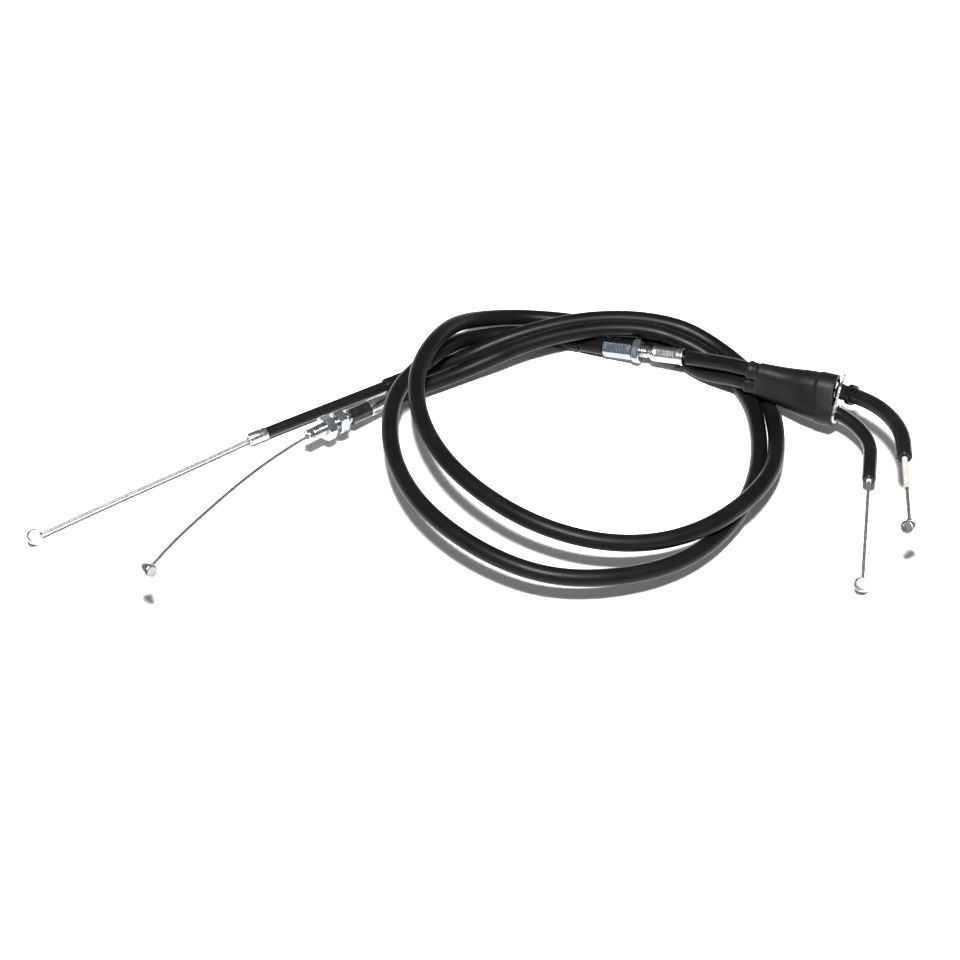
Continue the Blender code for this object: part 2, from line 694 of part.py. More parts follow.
for side, mouth, mouth_to, liner_end in (
    ("pull", PULL_MOUTH, PULL_MOUTH_TO, PULL_LINER_END),
    ("return", RETURN_MOUTH, RETURN_MOUTH_TO, RETURN_LINER_END),
):
    start = along(mouth, mouth_to, liner_end - TAIL_SHORT)
    centre = Vector(NIPPLES[side + "_nipple_grip"][0])
    swept(side + "_wire_grip", [start, along(centre, start, 1.0)], WIRE_RADIUS, WIRE_STEEL)
    nipple(side + "_nipple_grip", start)
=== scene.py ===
"""Looks for a pair of motorcycle throttle cables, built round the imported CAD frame.

Lengths are in millimetres and become metres through MM. Routes and boot sections repeat the
CAD's own; every fitting takes its place and axis from the frame.
"""

import json
from math import cos, pi, radians, sin, sqrt

import bmesh
import bpy
import numpy as np
from mathutils import Matrix, Vector


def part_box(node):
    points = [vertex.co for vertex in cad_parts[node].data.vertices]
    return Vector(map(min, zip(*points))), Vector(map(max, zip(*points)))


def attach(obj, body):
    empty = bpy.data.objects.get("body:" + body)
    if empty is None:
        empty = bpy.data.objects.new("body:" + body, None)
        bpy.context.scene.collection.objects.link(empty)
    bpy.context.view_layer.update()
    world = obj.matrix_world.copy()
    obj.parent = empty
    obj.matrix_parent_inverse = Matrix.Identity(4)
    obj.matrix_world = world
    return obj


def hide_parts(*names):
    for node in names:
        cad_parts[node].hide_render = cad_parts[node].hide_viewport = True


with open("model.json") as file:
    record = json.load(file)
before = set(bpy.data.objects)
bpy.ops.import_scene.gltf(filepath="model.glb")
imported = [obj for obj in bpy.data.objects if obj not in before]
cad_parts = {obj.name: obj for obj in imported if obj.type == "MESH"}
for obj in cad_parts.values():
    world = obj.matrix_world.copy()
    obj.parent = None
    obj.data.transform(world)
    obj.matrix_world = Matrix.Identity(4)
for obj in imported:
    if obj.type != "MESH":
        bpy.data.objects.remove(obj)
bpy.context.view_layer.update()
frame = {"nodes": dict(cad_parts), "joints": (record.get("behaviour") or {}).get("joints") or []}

MM = 0.001
TAU = 2 * pi

# Camera: a long lens that looks down at the middle of the coil
CAMERA_TARGET = (0.0042, -0.0098, 0.0)
CAMERA_DISTANCE = 1.0
CAMERA_ELEVATION = 45.0
CAMERA_LENS = 85.0

# Conduits and wires
COVER_RADIUS = 3.75
UPPER_COVER_RADIUS = 3.3
WIRE_RADIUS = 0.75
WIRE_STRANDS = 7
WIRE_LAY = 9.0
CONDUIT_SIDES = 28
CONDUIT_STEP = 1.6

RETURN_ROUTE = [
    (-29.8, 52.2, 4.2), (-22.8, 56.2, 4.1), (-13.8, 60.9, 3.9), (-3.6, 65.8, 4), (4.2, 70.2, 5.6),
    (13.2, 72.6, 8.3), (23.2, 75.7, 10.5), (42.1, 80.9, 12.6), (60.1, 84.3, 12.8), (79.1, 84.5, 12.4),
    (96.1, 82.2, 10), (105.1, 78.3, 8), (113.3, 73.1, 5.6), (122.7, 64.2, 4), (133.8, 46.3, 3.76),
    (137.3, 23.6, 5), (135.7, 3.5, 8.5), (133, -12.9, 12.5), (127.5, -26.3, 16), (118.6, -40.3, 18.3),
    (104.1, -54.3, 19), (88, -63.1, 19), (71, -67.4, 19.7), (54.1, -68.2, 21.7), (37.3, -65.3, 24.3),
    (20.7, -57.7, 26), (4.2, -44.8, 27.5), (-11.4, -26.4, 28.2), (-22.1, -2.2, 29), (-24.7, 19.2, 30),
    (-22.4, 35.8, 30), (-15.6, 53.5, 28), (-7.7, 69.9, 22), (2.2, 83.4, 13), (18.2, 93.2, 6),
    (42.2, 93.9, 3.76), (66.2, 87.9, 3.76), (84.2, 77.4, 3.76), (95.2, 67.4, 3.76), (102.2, 60.4, 3.76),
    (107.2, 55.2, 4.6), (113.2, 49.7, 8), (119.1, 44.5, 11.6), (125.2, 40.3, 13), (131.2, 36.2, 13.3),
    (138, 32.6, 13.1), (145.6, 28.1, 13.6),
]
PULL_ROUTE = [
    (-36.4, 34.4, 7.9), (-27.7, 40.8, 7), (-17.7, 45.5, 7), (-6.7, 51.4, 7.5), (3.2, 55.4, 9.5),
    (12.2, 59, 11.5), (21.1, 64.1, 12.2), (31.1, 68.1, 12.9), (41.1, 71.4, 13.8), (60.1, 75.8, 14.1),
    (78.1, 76, 13.4), (88.2, 74.6, 11.9), (97.2, 70.6, 10.9), (104.2, 67.4, 9.1), (110.2, 64.1, 6.9),
    (116.2, 59, 4.9), (122.2, 50, 3.76), (127.7, 35.9, 3.76), (129, 21.1, 4.5), (128.3, 3.6, 6),
    (125.4, -14.3, 8), (119.2, -33, 9.8), (109.2, -49.7, 10.3), (95.2, -65.7, 11.5), (78.2, -76.5, 13.5),
    (61.2, -82.2, 15.5), (44.4, -84.6, 17), (27.7, -83.3, 18.8), (11, -76.6, 20.5), (-6.5, -64.6, 22.3),
    (-23, -45.6, 22.8), (-32.9, -21.8, 21.8), (-36.1, 2.2, 21), (-34.3, 22.1, 21), (-27.4, 36.2, 21),
    (-19.5, 47.7, 19.5), (-11.6, 63, 14.4), (-2.1, 76.4, 7.2), (8.2, 81.6, 4.1), (20.2, 83.7, 3.9),
    (33.2, 81.9, 3.8), (44.6, 78.4, 3.5), (50.8, 76.1, 4.4),
]
PULL_UPPER_ROUTE = [
    (98.6, 58.2, 11.6), (102.1, 56.9, 12.1), (111.1, 49.8, 16.4), (117.1, 45, 19.2), (123.2, 40.7, 20.9),
    (130.2, 37, 21.4), (136.1, 35.1, 20.9), (141.8, 33.1, 20.7), (147.4, 30.9, 20.9),
]
PULL_BEND = [
    (163.7, 24.4, 22), (166.4, 22.5, 22.5), (172.2, 17.2, 24.5), (179.6, 8.5, 27), (184.4, -3.5, 29.5),
    (186, -12.7, 30.6), (185.8, -18.1, 31),
]
RETURN_BEND = [
    (163.1, 17.3, 15), (165.9, 15.3, 14.7), (170.6, 10.7, 14), (174.3, 5.1, 13), (175.8, 0, 12.4),
    (175.7, -4.4, 12),
]
PULL_WIRE_BEND = [
    (-78.2, -3.5, 15), (-87.8, -15.7, 17.3), (-97, -29.5, 20), (-105.8, -44.3, 22.8), (-114.3, -59.7, 25.8),
    (-122.6, -75.3, 28.8),
]
RETURN_WIRE_BEND = [
    (-105.7, 6.6, 4.1), (-127.7, -8.7, 4.1), (-157.8, -28.9, 4.3),
]
NIPPLE_AXES = {
    "pull_nipple_carb": (0.58, -0.7, 0.41),
    "pull_nipple_grip": (-0.6, -0.6, 0.53),
    "return_nipple_carb": (0.05, -0.47, 0.88),
    "return_nipple_grip": (-0.35, -0.5, 0.79),
}
NIPPLE_RADIUS = 3.0
NIPPLE_LENGTH = 7.0

# Boot: for each section the centres of its two channels and the radius around them
BOOT_SECTIONS = [
    ((129.4, 37.6, 21.2), (129.4, 37.5, 13.2), 4.5),
    ((134, 35.8, 21.1), (134.6, 34.4, 13.2), 4.8),
    ((142.8, 32.9, 20.5), (143.8, 29.2, 13.4), 5.6),
    ((149.2, 30, 21), (149.8, 25, 14), 6.7),
    ((156.7, 27.1, 21.5), (156.4, 21.2, 14.6), 6.9),
    ((162.7, 24.7, 22), (162.2, 18.3, 15), 6.6),
]

# Hexagons, across flats, and the bores drawn in them
NUT_FLATS = 10.0
BARREL_FLATS = 8.0
NUT_BORE = 3.02
LOCK_NUT_BORE = 2.8
BARREL_BORE = 3.0

# Fittings
FITTING_BORE = 1.3
WIRE_HIDDEN = 24.0
PULL_PIPE_RADIUS = 3.5
RETURN_PIPE_RADIUS = 3.1
LINER_RADIUS = 1.2
COLLAR_LENGTH = 4.5
COLLAR_REACH = 7.5
COLLAR_THICK = 0.7
BOOT_WALL = 1.5
BOOT_RIM = 0.4
PLATE_RADIUS = 4.9
PLATE_HOLE = 3.8

# Light
KEY_DIRECTION = (0.0, -0.41, 0.91)
KEY_DISTANCE = 1.15
KEY_SIZE = 0.15
KEY_POWER = 52
WORLD_STRENGTH = 0.26


# ---------------------------------------------------------------- lines through points

def smooth(controls, step):
    """Evenly spaced points on a uniform cubic B-spline that starts and ends at the end points."""
    knots = np.array([tuple(p) for p in controls], float)
    knots = np.vstack([2 * knots[0] - knots[1], knots, 2 * knots[-1] - knots[-2]])
    t = np.linspace(0, 1, 12, endpoint=False)[:, None]
    weights = ((1 - t) ** 3, 3 * t**3 - 6 * t**2 + 4, -3 * t**3 + 3 * t**2 + 3 * t + 1, t**3)
    spans = zip(knots, knots[1:], knots[2:], knots[3:])
    dense = np.vstack([sum(w * p for w, p in zip(weights, span)) / 6 for span in spans])
    dense = np.vstack([dense, knots[-2]])
    return spaced(dense, step)


def spaced(line, step):
    """The same line with points about step apart."""
    run = np.concatenate([[0], np.cumsum(np.linalg.norm(np.diff(line, axis=0), axis=1))])
    at = np.linspace(0, run[-1], max(2, round(run[-1] / step) + 1))
    return np.stack([np.interp(at, run, line[:, k]) for k in range(3)], axis=1)


def unit(v):
    return v / np.linalg.norm(v)


def frames_along(line):
    """Side and up at each point, carried along without twisting."""
    tangents = np.gradient(line, axis=0)
    tangents /= np.linalg.norm(tangents, axis=1)[:, None]
    side = unit(np.cross(tangents[0], (0, 0, 1.0)))
    sides = []
    for tangent in tangents:
        side = unit(side - tangent * side.dot(tangent))
        sides.append(side)
    sides = np.array(sides)
    return sides, np.cross(sides, tangents)


# ---------------------------------------------------------------- meshes

def finished(name, mesh, look, body, sharp=35.0):
    """A smooth-shaded object with its material, riding on a body."""
    obj = bpy.data.objects.new(name, mesh)
    bpy.context.scene.collection.objects.link(obj)
    mesh.materials.append(look.material)
    mesh.shade_smooth()
    mesh.set_sharp_from_angle(angle=radians(sharp))
    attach(obj, body)
    return obj


def grid_mesh(name, rings, closed_ends=True, lengths=None):
    """A closed surface through rings of points, with a UV of turn and distance along."""
    count, sides = rings.shape[:2]
    mesh = bpy.data.meshes.new(name)
    faces = []
    for i in range(count - 1):
        for j in range(sides):
            k = (j + 1) % sides
            faces.append((i * sides + j, i * sides + k, (i + 1) * sides + k, (i + 1) * sides + j))
    if closed_ends:
        faces.append(tuple(reversed(range(sides))))
        faces.append(tuple((count - 1) * sides + j for j in range(sides)))
    mesh.from_pydata((rings.reshape(-1, 3) * MM).tolist(), [], faces)
    layer = mesh.uv_layers.new(name="around_and_along")
    lengths = np.arange(count) if lengths is None else lengths
    corner = 0
    for i in range(count - 1):
        for j in range(sides):
            quad = ((j, i), (j + 1, i), (j + 1, i + 1), (j, i + 1))
            for turn, ring in quad:
                layer.data[corner].uv = (turn / sides, lengths[ring] * MM)
                corner += 1
    return mesh


def swept(name, line, radii, look, body, sides=CONDUIT_SIDES, shape=None):
    """A round piece along a line. radii is one number or one for each point; shape(turn, run)
    scales it round the section."""
    side, up = frames_along(line)
    run = np.concatenate([[0], np.cumsum(np.linalg.norm(np.diff(line, axis=0), axis=1))])
    turn = np.linspace(0, TAU, sides, endpoint=False)
    radius = np.broadcast_to(np.asarray(radii, float), (len(line),))[:, None] * np.ones(sides)
    if shape is not None:
        radius = radius * shape(turn[None, :], run[:, None])
    ring = (
        side[:, None, :] * (radius * np.cos(turn))[:, :, None]
        + up[:, None, :] * (radius * np.sin(turn))[:, :, None]
    )
    mesh = grid_mesh(name, line[:, None, :] + ring, lengths=run)
    return finished(name, mesh, look, body)


def on_axis(node, direction):
    """The middle of a CAD node's near end, on its own axis, and its length, in millimetres."""
    low, high = (np.array(v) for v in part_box(node))
    direction = unit(np.array(direction, float))
    reach = [float(np.dot(v.co, direction)) for v in frame["nodes"][node].data.vertices]
    middle = (low + high) / 2
    start = middle + direction * (min(reach) - middle.dot(direction))
    return start / MM, (max(reach) - min(reach)) / MM


def placed(obj, start, direction, roll=0.0):
    """Put a piece made about its own Z on an axis."""
    z = Vector(unit(np.array(direction, float)))
    x = Vector((0, 0, 1)).cross(z).normalized()
    y = z.cross(x)
    turn = Matrix((x, y, z)).transposed().to_4x4() @ Matrix.Rotation(radians(roll), 4, "Z")
    obj.matrix_world = Matrix.Translation(Vector(start) * MM) @ turn
    return obj


def turned(name, outline, look, body, sides=48, shape=None, fine=None, bore=None, sharp=35.0):
    """A piece turned about Z. outline is (height, radius) from end to end; fine puts rings that
    close together; shape(turn, height, radius) changes the radius; bore opens a hole."""
    heights, radii = [], []
    for (z0, r0), (z1, r1) in zip(outline, outline[1:]):
        parts = max(1, round(abs(z1 - z0) / fine)) if fine else 1
        for i in range(parts):
            heights.append(z0 + (z1 - z0) * i / parts)
            radii.append(r0 + (r1 - r0) * i / parts)
    heights.append(outline[-1][0])
    radii.append(outline[-1][1])
    turn = np.linspace(0, TAU, sides, endpoint=False)
    z = np.array(heights)[:, None] * np.ones(sides)
    radius = np.array(radii)[:, None] * np.ones(sides)
    if shape is not None:
        radius = shape(turn[None, :], z, radius)
    if bore:
        first, last = z[:1], z[-1:]
        rim = np.full((1, sides), bore)
        z = np.vstack([first, z, last])
        radius = np.vstack([rim, radius, rim])
    rings = np.stack([radius * np.cos(turn), radius * np.sin(turn), z], axis=2)
    mesh = grid_mesh(name, rings, closed_ends=not bore)
    if bore:
        close_bore(mesh, sides, len(rings))
    return finished(name, mesh, look, body, sharp)


def close_bore(mesh, sides, count):
    """Join the first ring to the last, as the wall of the hole."""
    shape = bmesh.new()
    shape.from_mesh(mesh)
    shape.verts.ensure_lookup_table()
    last = (count - 1) * sides
    for j in range(sides):
        k = (j + 1) % sides
        corners = (last + j, last + k, k, j)
        shape.faces.new([shape.verts[c] for c in corners])
    bmesh.ops.recalc_face_normals(shape, faces=shape.faces)
    shape.to_mesh(mesh)
    shape.free()


# ---------------------------------------------------------------- shapes round a section

def hexagon(flats, height):
    """Radius of a hexagonal prism whose corners are coned off at both ends."""
    def shape(turn, z, radius):
        across = flats / 2 / np.cos((turn + radians(30)) % radians(60) - radians(30))
        across = np.minimum(across, flats / sqrt(3) * 0.985)
        end = np.minimum(z, height - z)
        coned = flats / 2 * 0.97 + end / np.tan(radians(30))
        return np.where(radius < 0, -radius, np.minimum(across, coned))
    return shape


def thread(pitch, depth, start, end):
    """A helical thread between two heights, running out at both."""
    def shape(turn, z, radius):
        phase = (z / pitch - turn / TAU) % 1.0
        groove = np.clip(1.25 - 2.5 * np.abs(phase - 0.5) * 2, 0, 1)
        fade = np.clip(np.minimum(z - start, end - z) / pitch, 0, 1)
        return radius - depth * groove * fade
    return shape


def crimped(flats, depth, start, end):
    """Flats pressed into a tube between two heights."""
    def shape(turn, z, radius):
        wave = 0.5 + 0.5 * np.cos(turn * flats)
        fade = np.clip(np.minimum(z - start, end - z) / 0.8, 0, 1)
        return radius - depth * wave * fade
    return shape


# ---------------------------------------------------------------- materials

class Look:
    """A procedural material under construction, and the record's slot that it belongs to."""

    def __init__(self, name, slot, colour, roughness, metallic=0.0):
        self.slot = slot
        self.material = bpy.data.materials.new(name)
        self.material.use_nodes = True
        self.nodes = self.material.node_tree.nodes
        self.links = self.material.node_tree.links
        self.shader = self.nodes["Principled BSDF"]
        self.shader.inputs["Base Color"].default_value = (*colour, 1)
        self.shader.inputs["Roughness"].default_value = roughness
        self.shader.inputs["Metallic"].default_value = metallic
        self.bumps = None

    def coordinates(self, kind, stretch):
        source = self.nodes.new("ShaderNodeTexCoord").outputs[kind]
        mapping = self.nodes.new("ShaderNodeMapping")
        mapping.inputs["Scale"].default_value = stretch
        self.links.new(source, mapping.inputs["Vector"])
        return mapping.outputs["Vector"]

    def noise(self, stretch, kind="Object", detail=3.0, rough=0.55):
        made = self.nodes.new("ShaderNodeTexNoise")
        made.inputs["Scale"].default_value = 1.0
        made.inputs["Detail"].default_value = detail
        made.inputs["Roughness"].default_value = rough
        if isinstance(stretch, (int, float)):
            stretch = (stretch, stretch, stretch)
        self.links.new(self.coordinates(kind, stretch), made.inputs["Vector"])
        return made.outputs["Fac"]

    def ranged(self, value, low, high, to_low, to_high):
        made = self.nodes.new("ShaderNodeMapRange")
        for socket, number in zip(made.inputs[1:5], (low, high, to_low, to_high)):
            socket.default_value = number
        self.links.new(value, made.inputs[0])
        return made.outputs[0]

    def roughness(self, value, low, high):
        self.links.new(self.ranged(value, 0.3, 0.7, low, high), self.shader.inputs["Roughness"])

    def colours(self, value, *stops):
        ramp = self.nodes.new("ShaderNodeValToRGB")
        elements = ramp.color_ramp.elements
        while len(elements) < len(stops):
            elements.new(0.5)
        for element, (at, colour) in zip(elements, stops):
            element.position = at
            element.color = (*colour, 1)
        self.links.new(value, ramp.inputs["Fac"])
        self.links.new(ramp.outputs["Color"], self.shader.inputs["Base Color"])

    def bump(self, height, distance):
        """Relief of this many metres from a height between 0 and 1; later calls add to it."""
        made = self.nodes.new("ShaderNodeBump")
        made.inputs["Distance"].default_value = distance
        self.links.new(height, made.inputs["Height"])
        if self.bumps is not None:
            self.links.new(self.bumps, made.inputs["Normal"])
        self.bumps = made.outputs["Normal"]
        self.links.new(self.bumps, self.shader.inputs["Normal"])


def vinyl(name):
    """Extruded black cover: faint lines along it, a fine grain, dust-dulled patches."""
    look = Look(name, "cover_vinyl", (0.003, 0.003, 0.003), 0.45)
    look.colours(look.noise(60), (0.3, (0.002, 0.002, 0.002)), (0.75, (0.0042, 0.004, 0.0038)))
    look.roughness(look.noise((5, 180, 1), "UV", 4), 0.34, 0.44)
    look.bump(look.noise((26, 25, 1), "UV", 2), 0.00005)
    look.bump(look.noise(1800, detail=2), 0.00001)
    look.shader.inputs["Specular IOR Level"].default_value = 0.07
    return look


def rubber(name):
    """Moulded rubber: satin, with a leathery micro-grain and a few soft undulations."""
    look = Look(name, "boot_rubber", (0.03, 0.03, 0.031), 0.5)
    look.colours(look.noise(90), (0.3, (0.003, 0.003, 0.003)), (0.75, (0.0065, 0.006, 0.0055)))
    look.roughness(look.noise(400, detail=5), 0.38, 0.5)
    look.shader.inputs["Specular IOR Level"].default_value = 0.1
    look.bump(look.noise(140, detail=1), 0.00015)
    look.bump(look.noise(1500, detail=3), 0.00002)
    return look


def plated(name, slot, pale, dark, low=0.16, high=0.34):
    """Plated steel, turned: fine rings round the axis, cloudy plating, a few dull spots."""
    look = Look(name, slot, pale, 0.25, 1.0)
    look.colours(look.noise(260, detail=4), (0.35, dark), (0.6, pale))
    look.roughness(look.noise((300, 300, 2600), detail=4), low, high)
    look.bump(look.noise((60, 60, 5200), detail=2), 0.000002)
    look.bump(look.noise(900, detail=2), 0.000005)
    return look


def painted(name, colour):
    """Gloss black stove enamel with a slight orange peel."""
    look = Look(name, "black_metal", colour, 0.2)
    brighter = tuple(1.8 * c for c in colour)
    look.colours(look.noise(120), (0.3, colour), (0.8, brighter))
    look.roughness(look.noise(500, detail=4), 0.16, 0.3)
    look.bump(look.noise(420, detail=1), 0.00003)
    look.shader.inputs["Specular IOR Level"].default_value = 0.12
    look.shader.inputs["Coat Weight"].default_value = 0.06
    look.shader.inputs["Coat Roughness"].default_value = 0.08
    return look


def strand(name):
    """Galvanised wire, its tone and roughness varying at random."""
    look = Look(name, "wire_steel", (0.2, 0.19, 0.18), 0.3, 1.0)
    look.colours(look.noise(700, detail=4), (0.3, (0.12, 0.115, 0.11)), (0.7, (0.24, 0.23, 0.21)))
    look.roughness(look.noise(1500, detail=3), 0.42, 0.6)
    return look


def plastic(name):
    """Waxy white liner that light gets into."""
    look = Look(name, "liner_white", (0.3, 0.28, 0.25), 0.35)
    look.colours(look.noise(300), (0.3, (0.22, 0.205, 0.18)), (0.7, (0.32, 0.3, 0.27)))
    look.roughness(look.noise(900), 0.3, 0.45)
    look.bump(look.noise(700), 0.00003)
    look.shader.inputs["Subsurface Weight"].default_value = 0.25
    look.shader.inputs["Subsurface Radius"].default_value = (0.002, 0.002, 0.0018)
    return look


VINYL = vinyl("cover_vinyl")
RUBBER = rubber("boot_rubber")
ZINC = plated("zinc_steel", "zinc_steel", (0.42, 0.44, 0.46), (0.31, 0.325, 0.34))
BARREL = plated("barrel_steel", "barrel_steel", (0.27, 0.31, 0.37), (0.21, 0.24, 0.29))
CRIMP = plated("crimp_steel", "black_metal", (0.07, 0.07, 0.07), (0.05, 0.05, 0.05), 0.3, 0.42)
CASING = plated("casing_steel", "casing_steel", (0.32, 0.32, 0.31), (0.22, 0.22, 0.21), 0.3, 0.5)
PAINT = painted("black_paint", (0.003, 0.003, 0.003))
WIRE = strand("wire_steel")
LINER = plastic("liner_white")


# ---------------------------------------------------------------- axes, from the frame

JOINT_AXES = {j["name"]: np.array(j["axis"], float) for j in frame["joints"]}
PULL_AXIS = -unit(JOINT_AXES["nut_a_travel"])
RETURN_AXIS = -unit(JOINT_AXES["return_carb_slide"])
ADJUSTER_AXIS = unit(JOINT_AXES["barrel_turn"])
PULL_GRIP_AXIS = -unit(JOINT_AXES["pull_grip_slide"])
RETURN_GRIP_AXIS = -unit(JOINT_AXES["return_grip_slide"])
ROOT = "cable_set"


# ---------------------------------------------------------------- conduits and wires

def rounded_end(line, radius, ease=0.5):
    """A radius for each point that draws in over the last bit at both ends."""
    run = np.concatenate([[0], np.cumsum(np.linalg.norm(np.diff(line, axis=0), axis=1))])
    end = np.minimum(run, run[-1] - run)
    return radius * (1 - 0.12 * np.clip(1 - end / ease, 0, 1) ** 2)


def conduit(node, route, radius):
    line = smooth(route, CONDUIT_STEP)
    fine_ends = np.linalg.norm(line[1] - line[0]) * 0.25
    first = line[0] + unit(line[1] - line[0]) * fine_ends
    last = line[-1] + unit(line[-2] - line[-1]) * fine_ends
    line = np.vstack([line[:1], first, line[1:-1], last, line[-1:]])
    piece = swept(node + "_skin", line, rounded_end(line, radius), VINYL, ROOT)
    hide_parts(node)


def lay_of_strands(turn, run):
    """The strands of a wire as lobes that wind along it."""
    phase = (turn / TAU - run / WIRE_LAY) * WIRE_STRANDS
    return 0.86 + 0.14 * np.abs(np.cos(pi * phase))


def wire(node, line, body):
    line = spaced(line, 0.35)
    piece = swept(node + "_strands", line, WIRE_RADIUS, WIRE, body, sides=42, shape=lay_of_strands)
    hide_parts(node)
    return piece, line


def nipple(node, wire_from, body):
    low, high = (np.array(v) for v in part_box(node))
    centre = (low + high) / 2 / MM
    half = NIPPLE_LENGTH / 2
    edge = 0.35
    outline = [
        (-half, 0.9), (-half, 1.9), (-half, NIPPLE_RADIUS - edge),
        (-half + edge * 0.35, NIPPLE_RADIUS - edge * 0.35), (-half + edge, NIPPLE_RADIUS),
        (half - edge, NIPPLE_RADIUS), (half - edge * 0.35, NIPPLE_RADIUS - edge * 0.35),
        (half, NIPPLE_RADIUS - edge), (half, 1.9), (half - 0.25, 1.7), (half - 0.25, 0.9),
    ]
    piece = turned(node + "_body", outline, ZINC, body, sides=56)
    placed(piece, centre, NIPPLE_AXES[node])
    solder = [(0.0, 1.5), (0.35, 1.35), (0.7, 1.0), (0.9, 0.8)]
    bead = turned(node + "_solder", solder, ZINC, body, sides=24, sharp=60)
    away = unit(np.array(wire_from) - centre)
    across = unit(np.array(NIPPLE_AXES[node], float))
    out = NIPPLE_RADIUS / max(0.3, sqrt(1 - float(away.dot(across)) ** 2))
    placed(bead, centre + away * (out - 0.25), away)
    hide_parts(node)
    return [piece, bead], centre


def carb_wire(side, tip, axis, bend, body):
    """A wire end at the carburettor: straight inside its fitting, then bent to its nipple."""
    nipples, centre = nipple(side + "_nipple_carb", bend[-1], body)
    inner = tip + axis * WIRE_HIDDEN
    end = centre + unit(np.array(bend[-1], float) - centre) * 1.0
    controls = [inner, tip + axis * WIRE_HIDDEN / 2, tip, *bend, end]
    piece, line = wire(side + "_wire_carb", smooth(controls, 0.5), body)


def grip_wire(side, axis, body):
    """A wire end at the grip: straight from inside the liner to its nipple."""
    start, length = on_axis(side + "_wire_grip", axis)
    nipples, centre = nipple(side + "_nipple_grip", start, body)
    line = np.array([start, start + axis * length])
    piece, line = wire(side + "_wire_grip", line, body)


# ---------------------------------------------------------------- carburettor ends

def nut(node, axis, flats, look, body, bore, roll):
    start, height = on_axis(node, axis)
    edge = 0.5
    outline = [
        (0, -bore - edge), (0, flats / 2 * 0.94), (0.15, flats / 2), (edge, flats),
        (height - edge, flats), (height - 0.15, flats / 2), (height, flats / 2 * 0.94),
        (height, -bore - edge),
    ]
    shape = hexagon(flats, height)
    piece = turned(
        node + "_hexagon", outline, look, body, sides=96, shape=shape, fine=0.12, bore=bore,
        sharp=25,
    )
    placed(piece, start, axis, roll)
    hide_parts(node)


def pull_carb_end():
    tip, length = on_axis("pull_carb_adjuster", PULL_AXIS)
    major, core = 3.0, 2.55
    outline = [
        (0, 2.7), (0.35, 3.1), (1.2, 3.1), (1.45, core), (1.9, core), (2.2, major),
        (20.9, major), (21.2, core), (21.9, core), (21.95, 3.05), (22.6, 3.05), (22.65, core),
        (length, core),
    ]
    tube = turned(
        "adjuster_tube_thread", outline, ZINC, ROOT, sides=64, fine=0.16, bore=1.25,
        shape=thread(1.0, 0.42, 2.2, 20.7), sharp=50,
    )
    placed(tube, tip, PULL_AXIS)
    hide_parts("pull_carb_adjuster")
    nut("pull_carb_nut_a", PULL_AXIS, NUT_FLATS, ZINC, "nut_a", NUT_BORE, 12)
    nut("pull_carb_nut_b", PULL_AXIS, NUT_FLATS, ZINC, "nut_b", NUT_BORE, 41)
    start, length = on_axis("pull_carb_crimp", PULL_AXIS)
    outline = [(0, 2.9), (0.5, 3.7), (length - 0.4, 3.75), (length, 3.45)]
    band = turned(
        "crimp_band", outline, CRIMP, ROOT, sides=72, fine=0.25, bore=FITTING_BORE,
        shape=crimped(20, 0.05, 1.0, length - 1.0), sharp=40,
    )
    placed(band, start, PULL_AXIS)
    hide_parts("pull_carb_crimp")
    start, length = on_axis("pull_carb_ferrule", PULL_AXIS)
    outline = [
        (0, 3.35), (0.3, 3.65), (0.9, 3.75), (length - 2.2, 3.75), (length - 1.9, 3.55),
        (length - 1.4, 3.55), (length - 1.1, 3.75), (length - 0.25, 3.75), (length, 3.5),
    ]
    tube = turned("end_ferrule", outline, ZINC, ROOT, sides=56, bore=FITTING_BORE)
    placed(tube, start, PULL_AXIS)
    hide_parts("pull_carb_ferrule")
    return tip


def return_carb_end():
    tip, length = on_axis("return_carb_ferrule", RETURN_AXIS)
    outline = [
        (0, 2.4), (0.25, 2.75), (0.7, 2.85), (length - 3.2, 2.85), (length - 3.0, 2.6),
        (length - 2.5, 2.6), (length - 2.3, 2.85), (length - 0.3, 2.85), (length, 2.7),
    ]
    ferrule = turned("tube_tip_ferrule", outline, ZINC, ROOT, sides=48, bore=FITTING_BORE)
    placed(ferrule, tip, RETURN_AXIS)
    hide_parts("return_carb_ferrule")
    start, length = on_axis("return_carb_tube", RETURN_AXIS)
    outline = [(0, 2.35), (0.2, 2.5), (length - 0.2, 2.5), (length, 2.35)]
    tube = turned("long_tube", outline, PAINT, ROOT, sides=48, bore=FITTING_BORE, fine=6.0)
    placed(tube, start, RETURN_AXIS)
    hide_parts("return_carb_tube")
    start, length = on_axis("return_tube_sleeve", RETURN_AXIS)
    outline = [
        (0, 3.0), (0.12, 3.3), (0.5, 3.4), (4.2, 3.4), (4.5, 3.3), (5.0, 3.3), (5.3, 3.4),
        (length - 0.4, 3.4), (length, 3.25),
    ]
    sleeve = turned("tube_sleeve_skin", outline, VINYL, ROOT, sides=48, bore=2.6)
    placed(sleeve, start, RETURN_AXIS)
    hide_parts("return_tube_sleeve")
    return tip


# ---------------------------------------------------------------- in-line adjuster

